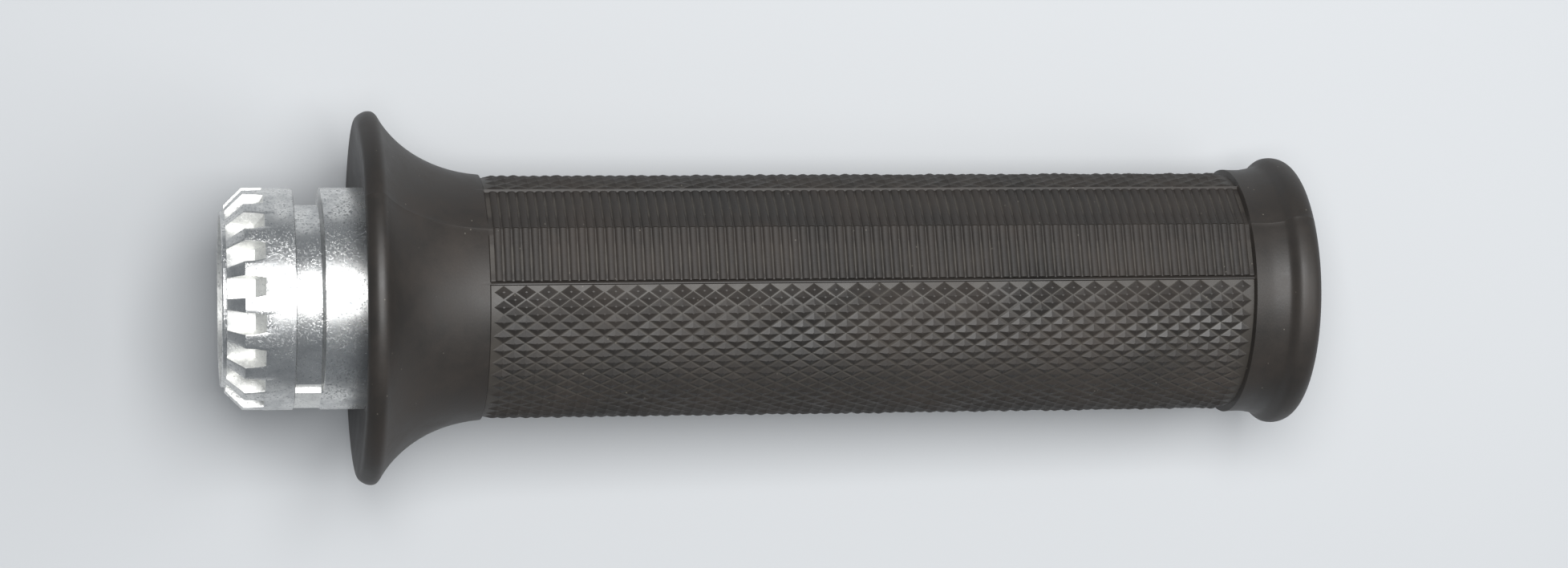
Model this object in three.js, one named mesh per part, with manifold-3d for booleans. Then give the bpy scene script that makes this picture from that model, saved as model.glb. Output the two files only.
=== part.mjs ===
/**
 * Twist-grip throttle sleeve for a motorcycle handlebar: a moulded rubber grip on a steel tube, with a
 * die-cast bevel gear head on its inner end.
 *
 * Millimetres, +Z up. The handlebar's axis is X. The origin is on that axis, in the plane of the gear
 * head's end face, and the closed outer end of the grip points along +X. Angles around the axis are in
 * degrees, counted from +Z towards +Y.
 */
import * as THREE from 'three';
import { ConvexGeometry } from 'three/addons/geometries/ConvexGeometry.js';
import { mergeVertices } from 'three/addons/utils/BufferGeometryUtils.js';
import Module from 'manifold-3d';

const wasm = await Module();
wasm.setup();

// ---- Driving dimensions ------------------------------------------------------------------------

// Handlebar and tube
const BAR_DIAMETER = 22.2;
const BAR_CLEARANCE = 0.1; // between the bar and the bore, on the radius
const TUBE_WALL = 1.0;
const FIT_GAP = 0.3; // between pieces that touch

// Gear head, along the axis
const NOSE_LENGTH = 0.6;
const TOOTH_LENGTH = 4.9;
const PLAIN_BAND_LENGTH = 4.0; // between the teeth and the groove
const GROOVE_WIDTH = 3.7;
const COLLAR_LENGTH = 4.8; // bare, between the groove and the rubber
const GROOVE_SIDE_WALL = 1.5; // between the groove and the tube's socket
const SOCKET_DEPTH = 8.8;

// Gear head, walls over the handlebar bore, and over the socket
const NOSE_WALL = 0.5;
const TOOTH_ROOT_WALL = 0.8;
const GROOVE_WALL = 1.7;
const COLLAR_WALL = 2.3;

// Teeth
const TOOTH_COUNT = 19;
const TOOTH_CLOCKING = -7; // a gap's centre
const TOOTH_CHAMFER = 2.3;
const GAP_WIDTH_FRONT = 2.7;
const GAP_WIDTH_BACK = 2.4;
const GAP_WIDTH_END = 1.9;
const GAP_SPLAY = 0.3; // how much wider a gap is at the tips than at its floor
const GAP_FLOOR_RISE = 1.2;
const GAP_RUNOUT = 1.3; // length of the steep end of a gap

// Cable groove and its stop
const STOP_START = -125;
const STOP_END = -57;
const STEP_ANGLE = 30; // where the groove's floor steps down
const STEP_DEPTH = 0.4;

// Rubber grip, along the axis
const FLANGE_THICKNESS = 2.9; // at its rim
const FLANGE_DISH = 1.0; // how far the flange's face is sunk in, around the gear head
const FLARE_LENGTH = 13.6;
const PANEL_LENGTH = 103.5;
const PANEL_MARGIN = 0.3; // between the panels and the outer band
const BAND_LENGTH = 3.7;
const BULB_CROWN = 2.8; // from the band to the bulb's widest place
const BULB_NOSE = 2.6; // from there to the end face
const END_WALL = 4.0;

// Rubber grip, radial
const RUBBER_WALL = 4.0;
const FLANGE_HEIGHT = 8.5; // over the grip's body
const FLANGE_ROUND = 1.2; // rounding of the flange's rim
const BAND_HEIGHT = 0.35;
const BULB_HEIGHT = 1.9;
const END_FACE_INSET = 1.2; // from the body's radius to the flat end face
const VENT_DIAMETER = 5.0;

// Grip panels, sunk into the body
const PANEL_DEPTH = 0.4;
const SEAM_ANGLE = 38.5; // the mould seam along the middle of a ribbed strip
const STRIP_WIDTH = 49; // degrees around the axis
const PANEL_BORDER = 3.5; // degrees of smooth rubber between a strip and a diamond panel

// Fineness of the round faces, and how far a cutter stands clear of what it cuts
const SEGMENTS = 72;
const ARC_STEPS = 6;
const CUTTER_OVERRUN = 1;

// ---- Places worked out from them ---------------------------------------------------------------

const boreRadius = BAR_DIAMETER / 2 + BAR_CLEARANCE;
const tubeRadius = boreRadius + TUBE_WALL;
const socketRadius = tubeRadius + FIT_GAP;
const headRadius = socketRadius + COLLAR_WALL;
const mouthRadius = headRadius + FIT_GAP;
const bodyRadius = socketRadius + RUBBER_WALL;
const flangeRadius = bodyRadius + FLANGE_HEIGHT;
const bulbRadius = bodyRadius + BULB_HEIGHT;

const toothBackX = NOSE_LENGTH + TOOTH_LENGTH;
const grooveX = toothBackX + PLAIN_BAND_LENGTH;
const collarX = grooveX + GROOVE_WIDTH;
const socketX = collarX + GROOVE_SIDE_WALL;
const headEndX = socketX + SOCKET_DEPTH;
const rubberX = collarX + COLLAR_LENGTH;
const flareX = rubberX + FLANGE_THICKNESS;
const panelX = flareX + FLARE_LENGTH;
const bandX = panelX + PANEL_LENGTH + PANEL_MARGIN;
const bulbX = bandX + BAND_LENGTH;
const crownX = bulbX + BULB_CROWN;
const outerEndX = crownX + BULB_NOSE;
const endWallX = outerEndX - END_WALL;

// ---- Shape helpers -----------------------------------------------------------------------------

/** Turns a lathe's axis (+Y) onto the handlebar's axis (+X). */
const LATHE_TO_BAR = new THREE.Matrix4().makeBasis(
  new THREE.Vector3(0, 0, 1), new THREE.Vector3(1, 0, 0), new THREE.Vector3(0, 1, 0),
);
/** Turns an extrusion's direction (+Z) onto the handlebar's axis (+X). */
const EXTRUDE_TO_BAR = new THREE.Matrix4().makeBasis(
  new THREE.Vector3(0, 1, 0), new THREE.Vector3(0, 0, 1), new THREE.Vector3(1, 0, 0),
);

/** An outline in (radius, distance along the bar), revolved about the bar. It closes on itself. */
function revolve(outline) {
  const points = outline.getPoints(ARC_STEPS);
  points.push(points[0].clone());
  return new THREE.LatheGeometry(points, SEGMENTS).applyMatrix4(LATHE_TO_BAR);
}

/** A piece of a ring about the bar, between two radii, two places along it and two angles. */
function ringPiece(innerRadius, outerRadius, startX, endX, startAngle, endAngle) {
  const start = THREE.MathUtils.degToRad(90 - startAngle);
  const end = THREE.MathUtils.degToRad(90 - endAngle);
  const shape = new THREE.Shape();
  shape.absarc(0, 0, outerRadius, end, start, false);
  shape.absarc(0, 0, innerRadius, start, end, true);
  const curveSegments = Math.ceil((SEGMENTS * (endAngle - startAngle)) / 360);
  return new THREE.ExtrudeGeometry(shape, { depth: endX - startX, bevelEnabled: false, curveSegments })
    .translate(0, 0, startX)
    .applyMatrix4(EXTRUDE_TO_BAR);
}

/** A geometry as a solid that can be cut and joined. */
function solid(geometry) {
  geometry.deleteAttribute('normal');
  geometry.deleteAttribute('uv');
  const merged = mergeVertices(geometry, 1e-4);
  return new wasm.Manifold(new wasm.Mesh({
    numProp: 3,
    vertProperties: new Float32Array(merged.attributes.position.array),
    triVerts: new Uint32Array(merged.index.array),
  }));
}

/** A geometry with each of the cutters taken away. */
function cut(geometry, cutters) {
  const left = cutters.reduce((body, cutter) => body.subtract(solid(cutter)), solid(geometry));
  const mesh = left.getMesh();
  const result = new THREE.BufferGeometry();
  result.setAttribute('position', new THREE.BufferAttribute(mesh.vertProperties, 3));
  result.setIndex(new THREE.BufferAttribute(mesh.triVerts, 1));
  result.computeVertexNormals();
  return result;
}

// ---- Gear head ---------------------------------------------------------------------------------

/** One gap between two teeth: a sloping floor, a steep run-out and splayed flanks. */
function toothGap(angle) {
  const rootRadius = boreRadius + TOOTH_ROOT_WALL;
  const stations = [
    { x: -CUTTER_OVERRUN, floor: rootRadius, width: GAP_WIDTH_FRONT },
    { x: toothBackX - GAP_RUNOUT, floor: rootRadius + GAP_FLOOR_RISE, width: GAP_WIDTH_BACK },
    { x: toothBackX, floor: headRadius, width: GAP_WIDTH_END },
  ];
  const points = [];
  for (const { x, floor, width } of stations) {
    for (const side of [-0.5, 0.5]) {
      points.push(new THREE.Vector3(x, side * width, floor));
      points.push(new THREE.Vector3(x, side * (width + GAP_SPLAY), headRadius + CUTTER_OVERRUN));
    }
  }
  return new ConvexGeometry(points).rotateX(-THREE.MathUtils.degToRad(angle));
}

/** The cable groove, which runs round from one side of its stop to the other and steps down. */
function cableGroove() {
  const floor = boreRadius + GROOVE_WALL;
  const rim = headRadius + CUTTER_OVERRUN;
  return [
    ringPiece(floor, rim, grooveX, collarX, STOP_END, STEP_ANGLE + 1),
    ringPiece(floor - STEP_DEPTH, rim, grooveX, collarX, STEP_ANGLE, STOP_START + 360),
  ];
}

/** The die-cast head: nose, chamfered teeth, plain band, cable groove, collar and tube socket. */
function bevelGearHead() {
  const outline = new THREE.Path();
  outline.moveTo(boreRadius, 0);
  outline.lineTo(boreRadius + NOSE_WALL, 0);
  outline.lineTo(boreRadius + NOSE_WALL, NOSE_LENGTH);
  outline.lineTo(headRadius - TOOTH_CHAMFER, NOSE_LENGTH);
  outline.lineTo(headRadius, NOSE_LENGTH + TOOTH_CHAMFER);
  outline.lineTo(headRadius, headEndX);
  outline.lineTo(socketRadius, headEndX);
  outline.lineTo(socketRadius, socketX);
  outline.lineTo(boreRadius, socketX);

  const toothPitch = 360 / TOOTH_COUNT;
  const gaps = Array.from({ length: TOOTH_COUNT }, (_, i) => toothGap(TOOTH_CLOCKING + i * toothPitch));
  return cut(revolve(outline), [...gaps, ...cableGroove()]);
}

// ---- Rubber grip -------------------------------------------------------------------------------

/** The two ribbed strips, on the mould seams, and the two diamond panels between them. */
function gripPanels() {
  const half = STRIP_WIDTH / 2;
  const spans = [SEAM_ANGLE, SEAM_ANGLE + 180].flatMap((middle) => [
    [middle - half, middle + half],
    [middle + half + PANEL_BORDER, middle + 180 - half - PANEL_BORDER],
  ]);
  const floor = bodyRadius - PANEL_DEPTH;
  const rim = bodyRadius + CUTTER_OVERRUN;
  return spans.map(([start, end]) => (
    ringPiece(floor, rim, panelX, panelX + PANEL_LENGTH, start, end)
  ));
}

/** The moulded grip: dished flange, flare, body with sunk panels, band, bulb and closed end. */
function rubberGrip() {
  const rimX = (rubberX + flareX) / 2;
  const bandRadius = bodyRadius + BAND_HEIGHT;
  const neckX = bulbX + (2 * BULB_CROWN) / 3;
  const shoulderX = bulbX + BULB_CROWN / 2;
  const outline = new THREE.Path();
  outline.moveTo(mouthRadius, rubberX + FLANGE_DISH);
  outline.lineTo(flangeRadius - FLANGE_ROUND, rubberX);
  outline.quadraticCurveTo(flangeRadius, rubberX, flangeRadius, rimX);
  outline.quadraticCurveTo(flangeRadius, flareX, flangeRadius - FLANGE_ROUND / 2, flareX);
  outline.quadraticCurveTo(bodyRadius, (flareX + panelX) / 2, bodyRadius, panelX);
  outline.lineTo(bodyRadius, bandX - PANEL_MARGIN);
  outline.lineTo(bandRadius, bandX);
  outline.lineTo(bandRadius, bulbX);
  outline.bezierCurveTo(bandRadius, neckX, bulbRadius, shoulderX, bulbRadius, crownX);
  outline.quadraticCurveTo(bulbRadius, outerEndX - BULB_NOSE / 8, bodyRadius - END_FACE_INSET, outerEndX);
  outline.lineTo(VENT_DIAMETER / 2, outerEndX);
  outline.lineTo(VENT_DIAMETER / 2, endWallX);
  outline.lineTo(socketRadius, endWallX);
  outline.lineTo(socketRadius, headEndX + FIT_GAP);
  outline.lineTo(mouthRadius, headEndX + FIT_GAP);
  return cut(revolve(outline), gripPanels());
}

// ---- Tube --------------------------------------------------------------------------------------

/** The steel tube inside the rubber, seated in the gear head's socket. */
function throttleTube() {
  const outline = new THREE.Path();
  outline.moveTo(boreRadius, socketX + FIT_GAP);
  outline.lineTo(tubeRadius, socketX + FIT_GAP);
  outline.lineTo(tubeRadius, endWallX - FIT_GAP);
  outline.lineTo(boreRadius, endWallX - FIT_GAP);
  return revolve(outline);
}

// ---- Assembly ----------------------------------------------------------------------------------

const grip = new THREE.Group();

/** Adds a piece to the grip under its name, in its own material. */
function addPiece(name, geometry, color, roughness, metalness) {
  const material = new THREE.MeshStandardMaterial({ color, roughness, metalness });
  const mesh = new THREE.Mesh(geometry, material);
  mesh.name = name;
  grip.add(mesh);
}

addPiece('rubber_grip', rubberGrip(), 0x4a443f, 0.75, 0);
addPiece('bevel_gear_head', bevelGearHead(), 0xb4b5b3, 0.4, 1);
addPiece('throttle_tube', throttleTube(), 0x8f9296, 0.35, 1);

export default grip;
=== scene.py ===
"""A motorcycle twist-grip throttle sleeve: moulded rubber on a steel tube, with a die-cast bevel gear head.

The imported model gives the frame: metres, the handlebar's axis along X from the gear end, +Z up. Angles
around the axis are counted from +Z towards +Y.
"""

import logging
import math
from collections.abc import Sequence
from dataclasses import dataclass, field
from enum import Enum

import bmesh
import bpy
from mathutils import Matrix, Vector, noise
from mathutils.geometry import interpolate_bezier


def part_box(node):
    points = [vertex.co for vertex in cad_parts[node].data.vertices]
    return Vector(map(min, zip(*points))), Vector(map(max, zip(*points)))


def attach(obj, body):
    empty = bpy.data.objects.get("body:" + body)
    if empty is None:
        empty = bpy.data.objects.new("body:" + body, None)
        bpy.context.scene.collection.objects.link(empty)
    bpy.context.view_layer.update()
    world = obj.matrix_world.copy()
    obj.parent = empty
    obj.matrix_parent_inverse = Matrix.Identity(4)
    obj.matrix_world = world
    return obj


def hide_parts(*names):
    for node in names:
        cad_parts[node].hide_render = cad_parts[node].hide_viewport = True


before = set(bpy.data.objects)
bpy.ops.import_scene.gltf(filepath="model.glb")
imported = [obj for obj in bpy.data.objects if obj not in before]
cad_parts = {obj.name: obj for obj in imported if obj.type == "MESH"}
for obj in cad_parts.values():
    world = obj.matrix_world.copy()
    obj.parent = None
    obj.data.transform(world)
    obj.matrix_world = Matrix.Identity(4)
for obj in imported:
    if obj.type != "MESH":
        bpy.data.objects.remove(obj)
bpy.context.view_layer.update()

log = logging.getLogger("throttle_grip")

MM = 0.001
MATH = "ShaderNodeMath"
Point = tuple[float, float]


# ---- Shared helpers ----------------------------------------------------------------------------


def srgb(value: str) -> tuple[float, float, float, float]:
    """Turns a colour such as "#4b4948" to the linear values that Blender's sockets hold.

    Args:
        value: the colour in sRGB hex.

    Returns:
        Red, green, blue and an alpha of one.
    """
    parts = [int(value[i : i + 2], 16) / 255 for i in (1, 3, 5)]
    linear = [p / 12.92 if p <= 0.04045 else ((p + 0.055) / 1.055) ** 2.4 for p in parts]
    return (*linear, 1.0)


def add_node(
    tree: bpy.types.NodeTree, kind: str, inputs: dict | None = None, **settings: object
) -> bpy.types.Node:
    """Adds a node with its settings, values and links.

    Args:
        tree: the shader or geometry tree.
        kind: the node's Blender type.
        inputs: socket name or index to a value, or to the output socket that feeds it.
        settings: the node's own properties.

    Returns:
        The new node.
    """
    node = tree.nodes.new(kind)
    for name, value in settings.items():
        setattr(node, name, value)
    for key, value in (inputs or {}).items():
        if isinstance(value, bpy.types.NodeSocket):
            tree.links.new(value, node.inputs[key])
        else:
            node.inputs[key].default_value = value
    return node


def polar(x: float, radius: float, angle: float) -> Vector:
    """The point at a distance along the bar, a radius and an angle in degrees, all else in metres."""
    turn = math.radians(angle)
    return Vector((x, radius * math.sin(turn), radius * math.cos(turn)))


def curve_points(start: Point, leave: Point, arrive: Point, end: Point, steps: int) -> list[Point]:
    """Points along one Bezier stretch of an outline, without its first.

    Args:
        start: where the stretch begins.
        leave: the handle that it leaves towards.
        arrive: the handle that it arrives from.
        end: where the stretch ends.
        steps: how many points to give.

    Returns:
        The points as (distance along the bar, radius).
    """
    knots = [Vector((*point, 0)) for point in (start, leave, arrive, end)]
    return [(p.x, p.y) for p in interpolate_bezier(*knots, steps + 1)[1:]]


def lattice_mesh(name: str, rings: Sequence[Sequence[Vector]]) -> bpy.types.Object:
    """A closed skin through rings of points, the last ring joined to the first.

    Args:
        name: the piece's name.
        rings: rings of equal length around the bar, in order along the outline.

    Returns:
        The new object, its faces pointing outwards.
    """
    count = len(rings[0])
    mesh = bpy.data.meshes.new(name)
    work = bmesh.new()
    rows = [[work.verts.new(point) for point in ring] for ring in rings]
    for i, row in enumerate(rows):
        following = rows[(i + 1) % len(rows)]
        for j in range(count):
            k = (j + 1) % count
            work.faces.new((row[j], row[k], following[k], following[j]))
    bmesh.ops.recalc_face_normals(work, faces=work.faces)
    work.to_mesh(mesh)
    work.free()
    piece = bpy.data.objects.new(name, mesh)
    bpy.context.scene.collection.objects.link(piece)
    return piece


def soften(piece: bpy.types.Object, sharp_angle: float) -> None:
    """Shades a piece smooth except over its sharp edges.

    Args:
        piece: the object.
        sharp_angle: the angle between faces, in degrees, from which an edge stays sharp.
    """
    piece.data.shade_smooth()
    piece.data.set_sharp_from_angle(angle=math.radians(sharp_angle))


def applied(piece: bpy.types.Object) -> bpy.types.Object:
    """Turns a piece's modifiers into plain mesh and removes them.

    Args:
        piece: the object with live modifiers.

    Returns:
        The same object with its final mesh.
    """
    graph = bpy.context.evaluated_depsgraph_get()
    mesh = bpy.data.meshes.new_from_object(piece.evaluated_get(graph))
    mesh.name = piece.name
    piece.modifiers.clear()
    piece.data = mesh
    return piece


def grown(name: str, tree: bpy.types.NodeTree, values: dict[str, float]) -> bpy.types.Object:
    """Makes a piece from a geometry tree.

    Args:
        name: the piece's name.
        tree: the geometry tree.
        values: the tree's input names and their values.

    Returns:
        The object with a plain mesh.
    """
    piece = bpy.data.objects.new(name, bpy.data.meshes.new(name))
    bpy.context.scene.collection.objects.link(piece)
    modifier = piece.modifiers.new(name, "NODES")
    modifier.node_group = tree
    for item in tree.interface.items_tree:
        if item.name in values:
            modifier[item.identifier] = values[item.name]
    return applied(piece)


def hand_over(piece: bpy.types.Object, slot: str, *stands_for: str) -> None:
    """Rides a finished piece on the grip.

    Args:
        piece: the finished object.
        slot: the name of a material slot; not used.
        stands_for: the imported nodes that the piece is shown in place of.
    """
    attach(piece, "root")
    if stands_for:
        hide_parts(*stands_for)
    log.info("%s: %d faces", piece.name, len(piece.data.polygons))


# ---- Finishes ----------------------------------------------------------------------------------


@dataclass(frozen=True)
class MouldedRubber:
    """Black natural rubber, moulded and aged: matt brownish grey, with dust lying in its hollows."""

    body: str = "#201e1c"
    worn: str = "#2b2622"
    dust: str = "#5a564f"
    grain: float = 0.35 * MM
    cloud: float = 14 * MM
    dust_patch: float = 2 * MM
    speck_spacing: float = 2.1 * MM
    dust_floor: float = 16.04 * MM
    dust_top: float = 16.12 * MM

    def material(self) -> bpy.types.Material:
        """Builds the rubber's material."""
        made = bpy.data.materials.new("moulded_rubber")
        made.use_nodes = True
        tree = made.node_tree
        shader = tree.nodes["Principled BSDF"]
        shader.inputs["IOR"].default_value = 1.52
        shader.inputs["Specular IOR Level"].default_value = 0.33
        place = add_node(tree, "ShaderNodeTexCoord").outputs["Object"]

        # Faded and handled areas, a few centimetres across
        clouds = add_node(
            tree, "ShaderNodeTexNoise",
            {"Vector": place, "Scale": 1 / self.cloud, "Detail": 8.0, "Roughness": 0.72},
        )
        spread = add_node(
            tree, "ShaderNodeMapRange",
            {"Value": clouds.outputs["Fac"], "From Min": 0.35, "From Max": 0.68},
        )
        faded = add_node(
            tree, "ShaderNodeMix",
            {"Factor": spread.outputs["Result"], "A": srgb(self.body), "B": srgb(self.worn)},
            data_type="RGBA",
        )

        # Dust on the floors between the points and ribs, told by the distance from the axis
        parts = add_node(tree, "ShaderNodeSeparateXYZ", {"Vector": place})
        flat = add_node(
            tree, "ShaderNodeCombineXYZ", {"Y": parts.outputs["Y"], "Z": parts.outputs["Z"]}
        )
        radius = add_node(
            tree, "ShaderNodeVectorMath", {0: flat.outputs["Vector"]}, operation="LENGTH"
        )
        hollow = add_node(
            tree, "ShaderNodeMapRange",
            {
                "Value": radius.outputs["Value"],
                "From Min": self.dust_floor, "From Max": self.dust_top,
                "To Min": 0.32, "To Max": 0.0,
            },
        )
        patches = add_node(
            tree, "ShaderNodeTexNoise",
            {"Vector": place, "Scale": 1 / self.dust_patch, "Detail": 3.0},
        )
        settled = add_node(
            tree, MATH,
            {0: hollow.outputs["Result"], 1: patches.outputs["Fac"]}, operation="MULTIPLY",
        )
        dusty = add_node(
            tree, "ShaderNodeMix",
            {"Factor": settled.outputs["Value"], "A": faded.outputs["Result"], "B": srgb(self.dust)},
            data_type="RGBA",
        )

        # Loose specks of lint
        cells = add_node(
            tree, "ShaderNodeTexVoronoi", {"Vector": place, "Scale": 1 / self.speck_spacing}
        )
        specks = add_node(
            tree, "ShaderNodeMapRange",
            {
                "Value": cells.outputs["Distance"],
                "From Min": 0.03, "From Max": 0.06, "To Min": 0.8, "To Max": 0.0,
            },
        )
        specked = add_node(
            tree, "ShaderNodeMix",
            {"Factor": specks.outputs["Result"], "A": dusty.outputs["Result"], "B": srgb(self.dust)},
            data_type="RGBA",
        )
        tree.links.new(specked.outputs["Result"], shader.inputs["Base Color"])

        # Sheen of the mould face, duller where the rubber has faded
        gloss = add_node(
            tree, "ShaderNodeMapRange",
            {
                "Value": clouds.outputs["Fac"],
                "From Min": 0.3, "From Max": 0.7, "To Min": 0.42, "To Max": 0.6,
            },
        )
        tree.links.new(gloss.outputs["Result"], shader.inputs["Roughness"])

        # The mould's fine grain, drawn coarser than it is so that it shows
        grain = add_node(
            tree, "ShaderNodeTexNoise",
            {"Vector": place, "Scale": 1 / self.grain, "Detail": 4.0, "Roughness": 0.65},
        )
        bump = add_node(
            tree, "ShaderNodeBump",
            {"Height": grain.outputs["Fac"], "Strength": 0.25, "Distance": 0.05 * MM},
        )
        tree.links.new(bump.outputs["Normal"], shader.inputs["Normal"])
        return made


@dataclass(frozen=True)
class ZincCasting:
    """Die-cast zinc alloy. As cast it is frosty and pale; turned, it mirrors, with pores cut open."""

    name: str
    metal: str
    stain: str
    smooth: float
    rough: float
    pore: float
    pore_depth: float
    patches_per_metre: float = 220.0

    def material(self) -> bpy.types.Material:
        """Builds one of the casting's finishes."""
        made = bpy.data.materials.new(self.name)
        made.use_nodes = True
        tree = made.node_tree
        shader = tree.nodes["Principled BSDF"]
        shader.inputs["Metallic"].default_value = 1.0
        place = add_node(tree, "ShaderNodeTexCoord").outputs["Object"]

        # Grey oxide in soft patches, broken up by the pores
        patches = add_node(
            tree, "ShaderNodeTexNoise",
            {"Vector": place, "Scale": self.patches_per_metre, "Detail": 6.0, "Roughness": 0.7},
        )
        pores = add_node(
            tree, "ShaderNodeTexNoise",
            {"Vector": place, "Scale": 1 / self.pore, "Detail": 5.0, "Roughness": 0.75},
        )
        stained = add_node(
            tree, "ShaderNodeMapRange",
            {"Value": patches.outputs["Fac"], "From Min": 0.36, "From Max": 0.58, "To Min": 0.5},
        )
        pitted = add_node(
            tree, "ShaderNodeMapRange",
            {"Value": pores.outputs["Fac"], "From Min": 0.34, "From Max": 0.46},
        )
        clean = add_node(
            tree, MATH,
            {0: stained.outputs["Result"], 1: pitted.outputs["Result"]}, operation="MULTIPLY",
        )
        colour = add_node(
            tree, "ShaderNodeMix",
            {"Factor": clean.outputs["Value"], "A": srgb(self.stain), "B": srgb(self.metal)},
            data_type="RGBA",
        )
        tree.links.new(colour.outputs["Result"], shader.inputs["Base Color"])
        gloss = add_node(
            tree, "ShaderNodeMapRange",
            {
                "Value": clean.outputs["Value"], "From Min": 0.2, "From Max": 1.0,
                "To Min": self.rough, "To Max": self.smooth,
            },
        )
        tree.links.new(gloss.outputs["Result"], shader.inputs["Roughness"])
        bump = add_node(
            tree, "ShaderNodeBump",
            {"Height": pitted.outputs["Result"], "Strength": 0.5, "Distance": self.pore_depth},
        )
        tree.links.new(bump.outputs["Normal"], shader.inputs["Normal"])
        return made


@dataclass(frozen=True)
class DrawnSteel:
    """Drawn steel tube: fine lines along the bar and a dull grey shine."""

    metal: str = "#8f9193"
    line: float = 0.25 * MM
    stretch: float = 0.02

    def material(self) -> bpy.types.Material:
        """Builds the tube's material."""
        made = bpy.data.materials.new("drawn_steel")
        made.use_nodes = True
        tree = made.node_tree
        shader = tree.nodes["Principled BSDF"]
        shader.inputs["Metallic"].default_value = 1.0
        shader.inputs["Base Color"].default_value = srgb(self.metal)
        place = add_node(tree, "ShaderNodeTexCoord").outputs["Object"]
        drawn = add_node(
            tree, "ShaderNodeMapping", {"Vector": place, "Scale": (self.stretch, 1.0, 1.0)}
        )
        lines = add_node(
            tree, "ShaderNodeTexNoise",
            {"Vector": drawn.outputs["Vector"], "Scale": 1 / self.line, "Detail": 3.0},
        )
        gloss = add_node(
            tree, "ShaderNodeMapRange",
            {"Value": lines.outputs["Fac"], "To Min": 0.25, "To Max": 0.5},
        )
        tree.links.new(gloss.outputs["Result"], shader.inputs["Roughness"])
        bump = add_node(
            tree, "ShaderNodeBump",
            {"Height": lines.outputs["Fac"], "Strength": 0.3, "Distance": 0.02 * MM},
        )
        tree.links.new(bump.outputs["Normal"], shader.inputs["Normal"])
        return made


@dataclass(frozen=True)
class PaleCard:
    """Matt pale card for the studio's floor."""

    colour: str = "#a9abad"

    def material(self) -> bpy.types.Material:
        """Builds the floor's material."""
        made = bpy.data.materials.new("pale_card")
        made.use_nodes = True
        tree = made.node_tree
        shader = tree.nodes["Principled BSDF"]
        shader.inputs["Base Color"].default_value = srgb(self.colour)
        shader.inputs["Roughness"].default_value = 0.9
        return made


# ---- Rubber grip -------------------------------------------------------------------------------


@dataclass
class GripLayout:
    """Where the grip's panels lie, shared by the skin, the points and the ribs."""

    start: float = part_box("rubber_grip")[0].x
    end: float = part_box("rubber_grip")[1].x
    flange_radius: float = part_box("rubber_grip")[1].z
    panel_setback: float = 16.5 * MM
    panel_length: float = 103.5 * MM
    seam_angle: float = 38.4
    strip_half: float = 25.2
    bead_offset: float = 26.2
    floor_offset: float = 27.3
    ridge_radius: float = 16.75 * MM
    strip_edge_radius: float = 16.45 * MM
    rib_height: float = 0.24 * MM
    floor_radius: float = 16.04 * MM
    border_radius: float = 16.5 * MM

    @property
    def panel_start(self) -> float:
        """Distance along the bar where the panels begin."""
        return self.start + self.panel_setback

    @property
    def panel_end(self) -> float:
        """Distance along the bar where the panels end."""
        return self.panel_start + self.panel_length

    @property
    def seams(self) -> tuple[float, float]:
        """The two mould seams' angles."""
        return (self.seam_angle, self.seam_angle + 180)

    def off_seam(self, angle: float) -> float:
        """How far an angle is from the nearer seam, from 0 to 90 degrees."""
        turn = (angle - self.seam_angle) % 180
        return min(turn, 180 - turn)

    def facet_radius(self, offset: float) -> float:
        """Radius of the rib tops, which lie on two flats that meet at the seam.

        Args:
            offset: degrees from the seam.

        Returns:
            The radius in metres.
        """
        whole, part = math.radians(self.strip_half), math.radians(min(offset, self.strip_half))
        ridge, edge = self.ridge_radius, self.strip_edge_radius
        return ridge * edge * math.sin(whole) / (edge * math.sin(whole - part) + ridge * math.sin(part))


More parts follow.
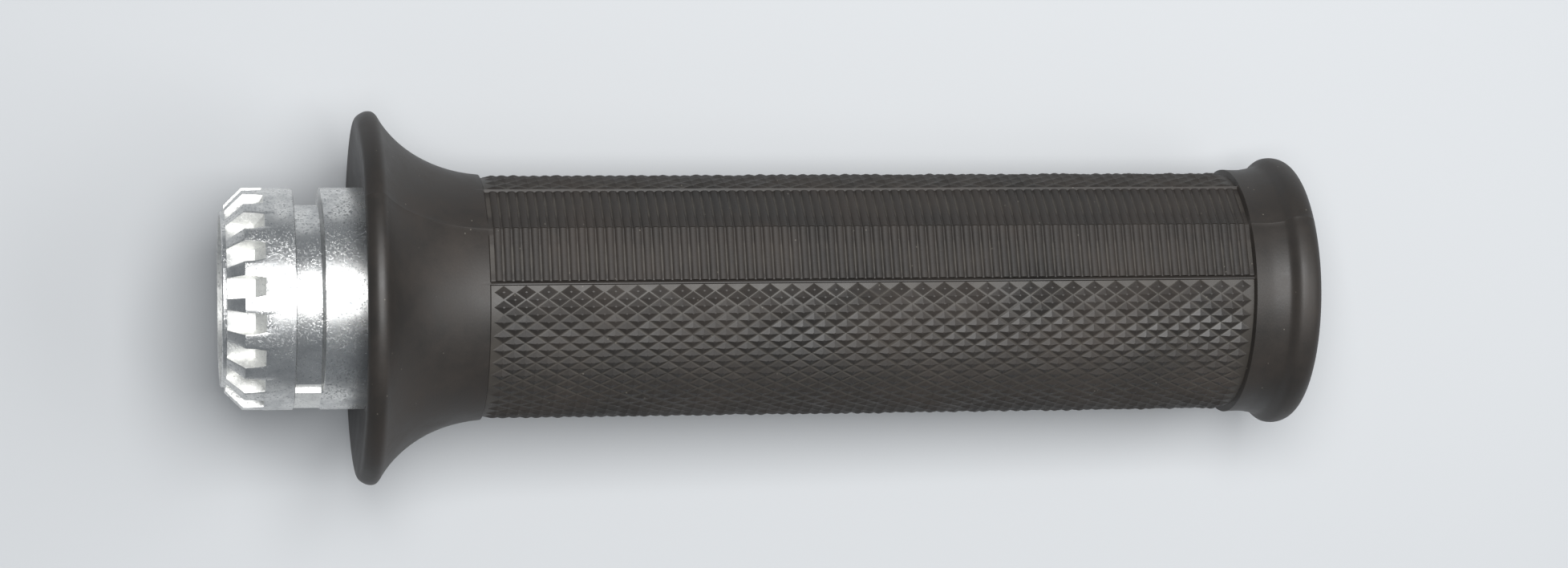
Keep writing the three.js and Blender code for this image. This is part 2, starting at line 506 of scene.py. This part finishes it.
@dataclass
class RubberSkin:
    """The moulded skin: flange, flare, sunk panel floors, band, bulb, closed end and bore."""

    layout: GripLayout
    mouth_radius: float = 14.6 * MM
    bore_radius: float = 12.45 * MM
    dish: float = 1.0 * MM
    mouth_depth: float = 5.8 * MM
    end_wall: float = 4.0 * MM
    vent_radius: float = 2.5 * MM
    seam_height: float = 0.05 * MM
    seam_half: float = 0.55
    bead_half: float = 0.5
    bead_height: float = 0.1 * MM
    turn_in: float = 0.1 * MM
    body_steps: int = 36
    column_step: float = 2.0
    unevenness: float = 0.06 * MM
    unevenness_length: float = 9 * MM

    def outline(self) -> list[Point]:
        """The revolved outline, as (distance along the bar, radius), from the flange's mouth round."""
        x0, x1, rim = self.layout.start, self.layout.end, self.layout.flange_radius
        body = self.layout.border_radius
        p0, p1 = self.layout.panel_start, self.layout.panel_end

        def at(x: float, r: float) -> Point:
            """A point measured from the flange's face, in millimetres."""
            return (x0 + x * MM, r * MM)

        # The flange's dished face, its rim, and the flare down to the body
        points = [(x0 + self.dish, self.mouth_radius), at(0.94, 15.2)]
        points += curve_points(points[-1], at(0.6, 18.2), at(0.25, 21.4), at(0.02, 23.5), 8)
        points += curve_points(points[-1], at(0.0, 23.9), at(0.1, 24.2), at(0.35, 24.4), 4)
        points += curve_points(points[-1], at(0.8, 24.75), (x0 + 1.2 * MM, rim), (x0 + 1.8 * MM, rim), 5)
        points += curve_points(points[-1], (x0 + 2.3 * MM, rim), at(2.65, 24.7), at(2.95, 24.1), 5)
        points += curve_points(points[-1], at(4.6, 21.3), at(8.8, 17.1), (p0 - self.turn_in, body), 16)

        # The body, whose panels start and end with a short turn in
        points += [(p0 + self.turn_in, body)]
        steps = self.body_steps
        points += [(p0 + (p1 - p0) * (i + 0.5) / steps, body) for i in range(steps)]
        points += [(p1 - self.turn_in, body), (p1 + 0.15 * MM, body + 0.3 * MM)]

        def back(x: float, r: float) -> Point:
            """A point measured back from the outer end, in millimetres."""
            return (x1 - x * MM, r * MM)

        # The smooth band, the bulb and the flat end
        points += curve_points(points[-1], back(8.1, 16.74), back(7.1, 16.7), back(6.6, 16.78), 6)
        points += curve_points(points[-1], back(5.9, 16.88), back(5.3, 17.0), back(4.8, 17.15), 6)
        points += curve_points(points[-1], back(4.2, 17.33), back(3.9, 18.25), back(3.05, 18.36), 10)
        points += [back(2.6, 18.4)]
        points += curve_points(points[-1], back(1.8, 18.4), back(0.7, 18.1), back(0.3, 16.9), 9)
        points += curve_points(points[-1], back(0.1, 16.3), back(0.0, 15.8), back(0.0, 15.0), 5)

        # The vent hole, the wall that closes the end, the bore and the mouth
        points += [(x1, self.vent_radius + 0.4 * MM), (x1 - 0.4 * MM, self.vent_radius)]
        inner = x1 - self.end_wall
        points += [(inner, self.vent_radius), (inner, self.bore_radius)]
        points += [(x0 + self.mouth_depth, self.bore_radius), (x0 + self.mouth_depth, self.mouth_radius)]
        return points

    def columns(self) -> list[float]:
        """Angles of the skin's columns: close at the seams and panel edges, even between."""
        g = self.layout
        offsets = (
            0.0, self.seam_half / 2, self.seam_half, g.strip_half - 0.6, g.strip_half,
            g.bead_offset - 0.6, g.bead_offset, g.bead_offset + 0.6, g.floor_offset, g.floor_offset + 0.3,
        )
        keys = sorted({(seam + side * o) % 360 for seam in g.seams for side in (-1, 1) for o in offsets})
        angles = []
        for here, following in zip(keys, keys[1:] + [keys[0] + 360]):
            parts = max(1, math.ceil((following - here) / self.column_step))
            angles += [here + (following - here) * i / parts for i in range(parts)]
        return angles

    def panel_radius(self, angle: float) -> float:
        """Radius of the skin inside the panels' length: strips, edges, beads and diamond floors."""
        g = self.layout
        offset = g.off_seam(angle)
        if offset < g.bead_offset - self.bead_half:
            return g.facet_radius(offset) - g.rib_height
        if offset < g.bead_offset + self.bead_half:
            return g.border_radius + self.bead_height
        if offset < g.floor_offset + 0.2:
            return g.border_radius - self.bead_height
        return g.floor_radius

    def point(self, x: float, radius: float, angle: float, outside: bool) -> Vector:
        """One point of the skin.

        Args:
            x: distance along the bar.
            radius: the outline's radius there.
            angle: degrees around the bar.
            outside: True on the outer face, which has the panels, seams and unevenness.

        Returns:
            The point.
        """
        g = self.layout
        if outside:
            if g.panel_start < x < g.panel_end:
                radius = self.panel_radius(angle)
            elif radius > self.mouth_radius:
                closeness = max(0.0, 1 - g.off_seam(angle) / self.seam_half)
                radius += self.seam_height * closeness
            radius += self.unevenness * noise.noise(polar(x, radius, angle) / self.unevenness_length)
            radius = min(radius, g.flange_radius)
        return polar(x, radius, angle)

    def build(self, rubber: bpy.types.Material) -> bpy.types.Object:
        """Makes the skin and dresses it."""
        outline = self.outline()
        last_outer = max(range(len(outline)), key=lambda i: outline[i][0])
        columns = self.columns()
        rings = [
            [self.point(x, radius, angle, 0 < i < last_outer) for angle in columns]
            for i, (x, radius) in enumerate(outline)
        ]
        piece = lattice_mesh("rubber_skin", rings)
        piece.data.materials.append(rubber)
        soften(piece, sharp_angle=38)
        return piece


@dataclass
class DiamondPoints:
    """The rows of small pyramids that fill the two diamond panels, every other row set half a pitch on."""

    layout: GripLayout
    columns: int = 35
    rows: int = 35
    edge_gap: float = 0.25 * MM
    groove: float = -0.02 * MM
    height: float = 0.36 * MM
    sink: float = 0.05 * MM
    tip_share: float = 0.12
    height_spread: float = 0.2
    seed: int = 7

    def tree(self, rubber: bpy.types.Material) -> bpy.types.NodeTree:
        """Builds the geometry tree that lays one panel's pyramids on the grip."""
        tree = bpy.data.node_groups.new("diamond_points", "GeometryNodeTree")
        tree.interface.new_socket("Geometry", in_out="OUTPUT", socket_type="NodeSocketGeometry")
        for name in (
            "Start", "Pitch", "First Angle", "Row Angle", "Radius", "Half Length", "Half Width", "Height",
        ):
            tree.interface.new_socket(name, in_out="INPUT", socket_type="NodeSocketFloat")
        for name in ("Rows", "Columns", "Seed"):
            tree.interface.new_socket(name, in_out="INPUT", socket_type="NodeSocketInt")
        given = add_node(tree, "NodeGroupInput").outputs
        columns = given["Columns"]

        # A point for each pyramid, told by its row and its column
        count = add_node(tree, MATH, {0: given["Rows"], 1: columns}, operation="MULTIPLY").outputs[0]
        cloud = add_node(tree, "GeometryNodePoints", {"Count": count})
        index = add_node(tree, "GeometryNodeInputIndex").outputs[0]
        centred = add_node(tree, MATH, {0: index, 1: 0.5}, operation="ADD").outputs[0]
        rows_before = add_node(tree, MATH, {0: centred, 1: columns}, operation="DIVIDE").outputs[0]
        row = add_node(tree, MATH, {0: rows_before}, operation="FLOOR").outputs[0]
        points_before = add_node(tree, MATH, {0: row, 1: columns}, operation="MULTIPLY").outputs[0]
        column = add_node(tree, MATH, {0: index, 1: points_before}, operation="SUBTRACT").outputs[0]

        # Its distance along the bar, with odd rows half a pitch on
        odd = add_node(tree, MATH, {0: row, 1: 2.0}, operation="MODULO").outputs[0]
        shift = add_node(tree, MATH, {0: odd, 1: 0.5}, operation="MULTIPLY").outputs[0]
        along = add_node(tree, MATH, {0: column, 1: shift}, operation="ADD").outputs[0]
        run = add_node(tree, MATH, {0: along, 1: given["Pitch"]}, operation="MULTIPLY").outputs[0]
        x = add_node(tree, MATH, {0: given["Start"], 1: run}, operation="ADD").outputs[0]

        # Its place round the bar
        turned = add_node(tree, MATH, {0: row, 1: given["Row Angle"]}, operation="MULTIPLY").outputs[0]
        angle = add_node(tree, MATH, {0: given["First Angle"], 1: turned}, operation="ADD").outputs[0]
        sine = add_node(tree, MATH, {0: angle}, operation="SINE").outputs[0]
        cosine = add_node(tree, MATH, {0: angle}, operation="COSINE").outputs[0]
        y = add_node(tree, MATH, {0: given["Radius"], 1: sine}, operation="MULTIPLY").outputs[0]
        z = add_node(tree, MATH, {0: given["Radius"], 1: cosine}, operation="MULTIPLY").outputs[0]
        place = add_node(tree, "ShaderNodeCombineXYZ", {"X": x, "Y": y, "Z": z})
        tilt = add_node(tree, MATH, {0: angle, 1: -1.0}, operation="MULTIPLY").outputs[0]
        turn = add_node(tree, "ShaderNodeCombineXYZ", {"X": tilt})

        # An odd row has no room for its last pyramid
        limit = add_node(tree, MATH, {0: columns, 1: 1.5}, operation="SUBTRACT").outputs[0]
        last = add_node(tree, MATH, {0: column, 1: limit}, operation="GREATER_THAN").outputs[0]
        spare = add_node(tree, MATH, {0: odd, 1: last}, operation="MULTIPLY").outputs[0]

        # Wear has taken more off some tips than off others
        wear = add_node(
            tree, "FunctionNodeRandomValue",
            {2: 1 - self.height_spread, 3: 1 + self.height_spread, "Seed": given["Seed"]},
            data_type="FLOAT",
        )
        height = add_node(
            tree, MATH, {0: given["Height"], 1: wear.outputs[1]}, operation="MULTIPLY"
        ).outputs[0]
        size = add_node(
            tree, "ShaderNodeCombineXYZ",
            {"X": given["Half Length"], "Y": given["Half Width"], "Z": height},
        )
        laid = add_node(
            tree, "GeometryNodeSetPosition",
            {"Geometry": cloud.outputs[0], "Position": place.outputs[0]},
        )
        pyramid = add_node(
            tree, "GeometryNodeMeshCone",
            {"Vertices": 4, "Radius Top": self.tip_share, "Radius Bottom": 1.0, "Depth": 1.0},
        )
        copies = add_node(
            tree, "GeometryNodeInstanceOnPoints",
            {
                "Points": laid.outputs[0], "Instance": pyramid.outputs["Mesh"],
                "Rotation": turn.outputs[0], "Scale": size.outputs[0],
            },
        )
        kept = add_node(
            tree, "GeometryNodeDeleteGeometry",
            {"Geometry": copies.outputs[0], "Selection": spare}, domain="INSTANCE",
        )
        real = add_node(tree, "GeometryNodeRealizeInstances", {"Geometry": kept.outputs[0]})
        dressed = add_node(
            tree, "GeometryNodeSetMaterial", {"Geometry": real.outputs[0], "Material": rubber}
        )
        add_node(tree, "NodeGroupOutput", {0: dressed.outputs[0]})
        return tree

    def build(self, rubber: bpy.types.Material) -> list[bpy.types.Object]:
        """Makes the pyramids of both panels."""
        g = self.layout
        half_turn = 180 - 2 * g.floor_offset
        row_angle = half_turn / (self.rows + 1)
        span = g.panel_length - 2 * self.edge_gap
        pitch = span / self.columns
        half_width = math.radians(row_angle) * g.floor_radius
        across = pitch / 2 * half_width / math.hypot(pitch / 2, half_width)
        share = 1 - self.groove / 2 / across
        tree = self.tree(rubber)
        panels = []
        for name, seam in zip(("diamond_points_upper", "diamond_points_lower"), g.seams):
            values = {
                "Start": g.panel_start + self.edge_gap + pitch / 2,
                "Pitch": pitch,
                "First Angle": math.radians(seam + g.floor_offset + row_angle),
                "Row Angle": math.radians(row_angle),
                "Radius": g.floor_radius - self.sink,
                "Half Length": pitch / 2 * share,
                "Half Width": half_width * share,
                "Height": self.height,
                "Rows": self.rows,
                "Columns": self.columns,
                "Seed": self.seed,
            }
            panels.append(grown(name, tree, values))
        return panels


@dataclass
class GripRibs:
    """The cross ribs of the two strips. Each is bent at the seam, where the mould's halves meet."""

    layout: GripLayout
    pitch: float = 1.234 * MM
    width: float = 1.04 * MM
    end_gap: float = 0.45 * MM
    end_reach: float = 0.4

    def tree(self, rubber: bpy.types.Material) -> bpy.types.NodeTree:
        """Builds the geometry tree that lays one strip's ribs side by side."""
        tree = bpy.data.node_groups.new("grip_ribs", "GeometryNodeTree")
        tree.interface.new_socket("Geometry", in_out="OUTPUT", socket_type="NodeSocketGeometry")
        for name in ("Start", "Pitch", "Seam Angle", "Half Angle", "Ridge", "Edge", "Width", "Height"):
            tree.interface.new_socket(name, in_out="INPUT", socket_type="NodeSocketFloat")
        tree.interface.new_socket("Count", in_out="INPUT", socket_type="NodeSocketInt")
        given = add_node(tree, "NodeGroupInput").outputs

        def rib_point(side: float, radius: bpy.types.NodeSocket) -> bpy.types.NodeSocket:
            """A corner of a rib's path, on one side of the seam or on it."""
            off = add_node(tree, MATH, {0: given["Half Angle"], 1: side}, operation="MULTIPLY")
            angle = add_node(tree, MATH, {0: given["Seam Angle"], 1: off.outputs[0]}, operation="ADD")
            low = add_node(tree, MATH, {0: radius, 1: given["Height"]}, operation="SUBTRACT")
            sine = add_node(tree, MATH, {0: angle.outputs[0]}, operation="SINE").outputs[0]
            cosine = add_node(tree, MATH, {0: angle.outputs[0]}, operation="COSINE").outputs[0]
            y = add_node(tree, MATH, {0: low.outputs[0], 1: sine}, operation="MULTIPLY").outputs[0]
            z = add_node(tree, MATH, {0: low.outputs[0], 1: cosine}, operation="MULTIPLY").outputs[0]
            return add_node(tree, "ShaderNodeCombineXYZ", {"Y": y, "Z": z}).outputs[0]

        ends = [
            rib_point(-1.0, given["Edge"]), rib_point(0.0, given["Ridge"]), rib_point(1.0, given["Edge"]),
        ]
        halves = [
            add_node(tree, "GeometryNodeCurvePrimitiveLine", {"Start": a, "End": b}).outputs[0]
            for a, b in zip(ends, ends[1:])
        ]
        section = add_node(
            tree, "GeometryNodeCurvePrimitiveCircle", {"Resolution": 10, "Radius": 1.0}
        )
        half = add_node(tree, MATH, {0: given["Width"], 1: 0.5}, operation="MULTIPLY").outputs[0]
        squash = add_node(tree, "ShaderNodeCombineXYZ", {"X": half, "Y": given["Height"], "Z": 1.0})
        oval = add_node(
            tree, "GeometryNodeTransform",
            {"Geometry": section.outputs["Curve"], "Scale": squash.outputs[0]},
        )
        bars = add_node(tree, "GeometryNodeJoinGeometry")
        for path in halves:
            bar = add_node(
                tree, "GeometryNodeCurveToMesh",
                {"Curve": path, "Profile Curve": oval.outputs[0], "Fill Caps": True},
            )
            tree.links.new(bar.outputs[0], bars.inputs[0])
        line = add_node(
            tree, "GeometryNodeMeshLine",
            {
                "Count": given["Count"],
                "Start Location": add_node(tree, "ShaderNodeCombineXYZ", {"X": given["Start"]}).outputs[0],
                "Offset": add_node(tree, "ShaderNodeCombineXYZ", {"X": given["Pitch"]}).outputs[0],
            },
        )
        copies = add_node(
            tree, "GeometryNodeInstanceOnPoints",
            {"Points": line.outputs[0], "Instance": bars.outputs[0]},
        )
        real = add_node(tree, "GeometryNodeRealizeInstances", {"Geometry": copies.outputs[0]})
        smooth = add_node(tree, "GeometryNodeSetShadeSmooth", {"Geometry": real.outputs[0]})
        dressed = add_node(
            tree, "GeometryNodeSetMaterial", {"Geometry": smooth.outputs[0], "Material": rubber}
        )
        add_node(tree, "NodeGroupOutput", {0: dressed.outputs[0]})
        return tree

    def build(self, rubber: bpy.types.Material) -> list[bpy.types.Object]:
        """Makes the ribs of both strips."""
        g = self.layout
        tree = self.tree(rubber)
        count = int((g.panel_length - 2 * self.end_gap) / self.pitch)
        start = (g.panel_start + g.panel_end - (count - 1) * self.pitch) / 2
        strips = []
        for name, seam in zip(("ribs_upper", "ribs_lower"), g.seams):
            values = {
                "Start": start, "Pitch": self.pitch, "Seam Angle": math.radians(seam),
                "Half Angle": math.radians(g.strip_half + self.end_reach), "Ridge": g.ridge_radius,
                "Edge": g.strip_edge_radius, "Width": self.width, "Height": g.rib_height, "Count": count,
            }
            piece = grown(name, tree, values)
            soften(piece, sharp_angle=50)
            strips.append(piece)
        return strips


# ---- Gear head ---------------------------------------------------------------------------------


class Surface(Enum):
    """How a face of the gear head was made, as its material index."""

    TURNED = 0
    AS_CAST = 1


@dataclass
class GearHead:
    """The die-cast head: end ring, bevel teeth, plain band, stepped groove with its stop, collar."""

    nose_x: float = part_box("bevel_gear_head")[0].x
    inner_end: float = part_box("bevel_gear_head")[1].x
    radius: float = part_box("bevel_gear_head")[1].z
    bore_radius: float = 11.2 * MM
    socket_radius: float = 12.5 * MM
    socket_x: float = 14.7 * MM
    nose_radius: float = 11.7 * MM
    nose_length: float = 0.6 * MM
    nose_edge: float = 0.15 * MM
    tooth_end: float = 5.5 * MM
    chamfer: float = 2.3 * MM
    teeth: int = 19
    clocking: float = -7.0
    root_front: float = 12.05 * MM
    root_back: float = 12.5 * MM
    run_out: float = 1.25 * MM
    end_step: float = 0.5 * MM
    gap_front: float = 2.9 * MM
    gap_back: float = 2.5 * MM
    gap_end: float = 2.0 * MM
    splay: float = 0.35 * MM
    groove_start: float = 9.5 * MM
    groove_end: float = 13.2 * MM
    groove_slope: float = 0.3 * MM
    groove_radius: float = 12.9 * MM
    groove_step: float = 0.4 * MM
    wall_curve: float = 1.6
    step_angle: float = 30.0
    stop_from: float = -125.0
    stop_to: float = -52.0
    ramp_from: float = -27.0
    stop_drop: float = 0.12 * MM
    stop_side: float = 1.6
    stop_face: float = 13.9 * MM
    edge: float = 0.07 * MM

    def tooth_columns(self, x: float) -> list[tuple[float, bool]]:
        """Angles across all teeth at a distance along the bar.

        Args:
            x: distance along the bar, within the teeth.

        Returns:
            Each column's angle, and whether it lies on a gap's floor.
        """
        back = self.tooth_end - self.run_out
        if x < back:
            share = (x - self.nose_length) / (back - self.nose_length)
            width = self.gap_front + (self.gap_back - self.gap_front) * share
        else:
            share = min(1.0, (x - back) / self.run_out)
            width = self.gap_back + (self.gap_end - self.gap_back) * share
        floor = math.degrees(width / 2 / self.root_back)
        tip = math.degrees((width + self.splay) / 2 / self.radius)
        pitch = 360 / self.teeth
        middle = pitch / 2
        half = [(0.0, True), (floor * 0.5, True), (floor, True), (tip, False), ((tip + middle) / 2, False)]
        columns = []
        for tooth in range(self.teeth):
            centre = self.clocking + tooth * pitch
            columns += [(centre + a, low) for a, low in half]
            columns += [(centre + middle, False)]
            columns += [(centre + pitch - a, low) for a, low in reversed(half[1:])]
        return columns

    def ring_columns(self) -> list[float]:
        """Even angles for the groove, with columns moved onto the stop's sides and the step."""
        count = len(self.tooth_columns(self.nose_length))
        angles = [self.clocking + i * 360 / count for i in range(count)]
        keys = (
            self.stop_to, self.stop_to + self.stop_side,
            self.stop_from + 360, self.stop_from - self.stop_side + 360,
            self.step_angle - 0.4, self.step_angle + 1.4,
        )
        for key in keys:
            nearest = min(range(count), key=lambda i: abs((angles[i] - key + 180) % 360 - 180))
            angles[nearest] = angles[nearest] + (key - angles[nearest] + 180) % 360 - 180
        return angles

    def floor_radius(self, angle: float) -> float:
        """Radius of the groove's floor at an angle, which is the stop's top between its sides."""
        turn = (angle - self.stop_from) % 360
        stop = self.stop_to - self.stop_from
        if turn <= stop + 0.01:
            saddle = self.stop_drop + self.stop_drop * math.sin(math.pi * turn / stop)
            return self.radius - saddle
        step = (self.step_angle - self.stop_from) % 360
        ramp = (self.ramp_from - self.stop_from) % 360
        if turn < ramp:
            return self.groove_radius / math.cos(math.radians(ramp - turn))
        if turn < step + 0.5:
            return self.groove_radius
        return self.groove_radius - self.groove_step

    def rings(self) -> list[list[Vector]]:
        """The head's rings of points, round its outline from the end ring to the bore."""
        plain = self.tooth_columns(self.nose_length)
        angles = [a for a, _ in plain]

        def even(x: float, radius: float, turns: Sequence[float]) -> list[Vector]:
            """A round ring."""
            return [polar(x, radius, a) for a in turns]

        front = self.nose_length
        rings = [
            even(self.nose_x, self.bore_radius + self.edge, angles),
            even(self.nose_x, self.nose_radius - self.nose_edge, angles),
            even(self.nose_x + self.nose_edge, self.nose_radius, angles),
            even(front, self.nose_radius, angles),
        ]
        back = self.tooth_end - self.run_out
        stations = [front, front + 0.8 * MM, front + 1.6 * MM, front + self.chamfer, 3.8 * MM, back]
        stations += [back + self.run_out * 0.5, self.tooth_end]
        for x in stations:
            ring = []
            for angle, low in self.tooth_columns(x):
                land = min(self.radius, self.radius - self.chamfer + (x - front))
                if low and x <= back:
                    share = (x - front) / (back - front)
                    land = self.root_front + (self.root_back - self.root_front) * share
                elif low:
                    share = (x - back) / self.run_out
                    land = self.root_back + (self.radius - self.end_step - self.root_back) * share
                ring.append(polar(x, land, angle))
            rings.append(ring)
        gap_end = [a for a, _ in self.tooth_columns(self.tooth_end)]
        ringwise = self.ring_columns()
        blend = [(a + b) / 2 for a, b in zip(gap_end, ringwise)]
        g0, g1, slope = self.groove_start, self.groove_end, self.groove_slope
        rings += [
            even(self.tooth_end + self.edge, self.radius, gap_end),
            even((self.tooth_end + g0) / 2, self.radius, blend),
            even(g0 - 0.3 * MM, self.radius, ringwise),
            even(g0 - self.edge, self.radius, ringwise),
            even(g0, self.radius - self.edge, ringwise),
        ]
        floors = [self.floor_radius(a) for a in ringwise]
        for x in (g0 + 0.02 * MM, (g0 + g1) / 2 - slope / 2, g1 - slope):
            rings.append([polar(x, r, a) for r, a in zip(floors, ringwise)])
        for share in (0.35, 0.7, 0.95):
            x = g1 - slope + slope * share
            rise = share**self.wall_curve
            rings.append([polar(x, r + (self.radius - r) * rise, a) for r, a in zip(floors, ringwise)])
        rings += [
            even(g1 + self.edge, self.radius, ringwise),
            even(g1 + 0.4 * MM, self.radius, ringwise),
            even((g1 + self.inner_end) / 2, self.radius, ringwise),
            even(self.inner_end, self.radius, ringwise),
            even(self.inner_end, self.socket_radius, ringwise),
            even(self.socket_x, self.socket_radius, ringwise),
            even(self.socket_x, self.bore_radius, ringwise),
            even(self.tooth_end, self.bore_radius, blend),
            even(self.nose_x + self.edge, self.bore_radius, angles),
        ]
        return rings

    def surface(self, centre: Vector, normal: Vector) -> Surface:
        """Tells a turned face from one left as cast.

        Args:
            centre: the face's centre.
            normal: its normal.

        Returns:
            The kind of surface.
        """
        radius = math.hypot(centre.y, centre.z)
        outward = (normal.y * centre.y + normal.z * centre.z) / radius
        in_teeth = self.nose_length - 0.01 * MM < centre.x < self.tooth_end + self.edge
        land = min(self.radius, self.radius - self.chamfer + centre.x - self.nose_length)
        if in_teeth and (radius < land - 0.08 * MM or outward < 0.5):
            return Surface.AS_CAST
        in_groove = self.groove_start < centre.x < self.groove_end - self.groove_slope
        if in_groove and radius > self.stop_face:
            return Surface.AS_CAST
        return Surface.TURNED

    def build(self, finishes: dict[Surface, bpy.types.Material]) -> bpy.types.Object:
        """Makes the head, rounds its edges and dresses each face by how it was made."""
        piece = lattice_mesh("gear_head_casting", self.rings())
        for kind in Surface:
            piece.data.materials.append(finishes[kind])
        for face in piece.data.polygons:
            face.material_index = self.surface(face.center, face.normal).value
        rounding = piece.modifiers.new("edges", "BEVEL")
        rounding.width = self.edge
        rounding.segments = 2
        rounding.limit_method = "ANGLE"
        rounding.angle_limit = math.radians(32)
        applied(piece)
        soften(piece, sharp_angle=40)
        return piece


# ---- Tube --------------------------------------------------------------------------------------


@dataclass
class ThrottleTube:
    """The steel tube under the rubber, with broken edges at both ends."""

    start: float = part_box("throttle_tube")[0].x
    end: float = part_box("throttle_tube")[1].x
    outer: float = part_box("throttle_tube")[1].z
    wall: float = 1.0 * MM
    edge: float = 0.15 * MM
    columns: int = 144

    def build(self, steel: bpy.types.Material) -> bpy.types.Object:
        """Makes the tube and dresses it."""
        inner, e = self.outer - self.wall, self.edge
        outline = [
            (self.start, inner + e), (self.start, self.outer - e), (self.start + e, self.outer),
            (self.end - e, self.outer), (self.end, self.outer - e), (self.end, inner + e),
            (self.end - e, inner), (self.start + e, inner),
        ]
        turns = [i * 360 / self.columns for i in range(self.columns)]
        piece = lattice_mesh("steel_tube", [[polar(x, r, a) for a in turns] for x, r in outline])
        piece.data.materials.append(steel)
        soften(piece, sharp_angle=30)
        return piece


# ---- Studio ------------------------------------------------------------------------------------


@dataclass(frozen=True)
class Lamp:
    """A square soft light: its place in millimetres, its side in metres and its power in watts."""

    name: str
    place: tuple[float, float, float]
    size: float
    power: float


@dataclass
class Studio:
    """Camera, lights, pale floor and plain surroundings."""

    camera_place: Vector = field(default_factory=lambda: Vector((-17.25, 50.42, 519.09)) * MM)
    yaw: float = 10.2085
    pitch: float = 5.3068
    roll: float = -0.4692
    sensor: float = 36.0
    lens: float = 89.20118670076727
    floor_size: float = 2.4
    floor_gap: float = 0.1 * MM
    flange_foot: float = 19.9 * MM
    bulb_foot: float = 144.7 * MM
    bulb_radius: float = 18.4 * MM
    sky: str = "#c9d0d8"
    sky_strength: float = 0.38
    aim: tuple[float, float, float] = (60, 0, 0)
    lamps: tuple[Lamp, ...] = (
        Lamp("front_lamp", (50, 105, 500), size=0.26, power=4.3),
        Lamp("side_lamp", (480, 40, 460), size=0.35, power=1.6),
    )

    def camera(self) -> None:
        """Looks down on the grip from over its gear end."""
        data = bpy.data.cameras.new("camera")
        data.sensor_width = self.sensor
        data.lens = self.lens
        data.clip_start, data.clip_end = 0.01, 10
        eye = bpy.data.objects.new("camera", data)
        yaw, pitch, roll = (math.radians(a) for a in (self.yaw, self.pitch, self.roll))
        to_camera = (
            Matrix.Rotation(roll, 3, "Z") @ Matrix.Rotation(pitch, 3, "X") @ Matrix.Rotation(yaw, 3, "Y")
        )
        eye.matrix_world = Matrix.Translation(self.camera_place) @ to_camera.transposed().to_4x4()
        bpy.context.scene.collection.objects.link(eye)
        bpy.context.scene.camera = eye

    def hang(self, lamp: Lamp) -> None:
        """Hangs a light so that it faces the grip.

        Args:
            lamp: the light.
        """
        data = bpy.data.lights.new(lamp.name, "AREA")
        data.size, data.energy = lamp.size, lamp.power
        light = bpy.data.objects.new(lamp.name, data)
        place, target = Vector(lamp.place) * MM, Vector(self.aim) * MM
        facing = (target - place).to_track_quat("-Z", "Y").to_matrix().to_4x4()
        light.matrix_world = Matrix.Translation(place) @ facing
        light.visible_camera = False
        bpy.context.scene.collection.objects.link(light)

    def floor(self, card: bpy.types.Material) -> None:
        """Lays the floor under the flange and the bulb."""
        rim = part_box("rubber_grip")[1].z
        run = self.bulb_foot - self.flange_foot
        slope = math.atan2(rim - self.bulb_radius, run)
        middle = Vector((self.flange_foot + run / 2, 0, -(rim + self.bulb_radius) / 2 - self.floor_gap))
        mesh = bpy.data.meshes.new("floor")
        half = self.floor_size / 2
        work = bmesh.new()
        bmesh.ops.create_grid(work, x_segments=1, y_segments=1, size=half)
        work.transform(Matrix.Translation(middle) @ Matrix.Rotation(-slope, 4, "Y"))
        work.to_mesh(mesh)
        work.free()
        floor = bpy.data.objects.new("floor", mesh)
        floor.data.materials.append(card)
        bpy.context.scene.collection.objects.link(floor)

    def surroundings(self) -> None:
        """Fills the studio with dim even light."""
        world = bpy.data.worlds.new("studio")
        world.use_nodes = True
        background = world.node_tree.nodes["Background"]
        background.inputs["Color"].default_value = srgb(self.sky)
        background.inputs["Strength"].default_value = self.sky_strength
        bpy.context.scene.world = world

    def build(self, card: bpy.types.Material) -> None:
        """Sets up the whole studio."""
        self.camera()
        self.floor(card)
        self.surroundings()
        for lamp in self.lamps:
            self.hang(lamp)
        bpy.context.scene.view_settings.view_transform = "Standard"


# ---- Assembly ----------------------------------------------------------------------------------


def main() -> None:
    """Builds the grip and its studio."""
    logging.basicConfig(level=logging.INFO, format="%(name)s: %(message)s")
    rubber = MouldedRubber().material()
    finishes = {
        Surface.TURNED: ZincCasting(
            "turned_zinc", metal="#dcdcda", stain="#85898d",
            smooth=0.26, rough=0.4, pore=0.3 * MM, pore_depth=0.03 * MM,
        ).material(),
        Surface.AS_CAST: ZincCasting(
            "cast_zinc", metal="#f2f2ef", stain="#c2c3c2",
            smooth=0.5, rough=0.62, pore=0.3 * MM, pore_depth=0.04 * MM,
        ).material(),
    }
    layout = GripLayout()
    hand_over(RubberSkin(layout).build(rubber), "moulded_rubber", "rubber_grip")
    for piece in DiamondPoints(layout).build(rubber) + GripRibs(layout).build(rubber):
        hand_over(piece, "moulded_rubber")
    hand_over(GearHead().build(finishes), "die_cast_zinc", "bevel_gear_head")
    hand_over(ThrottleTube().build(DrawnSteel().material()), "tube_steel", "throttle_tube")
    Studio().build(PaleCard().material())


if __name__ == "__main__":
    main()
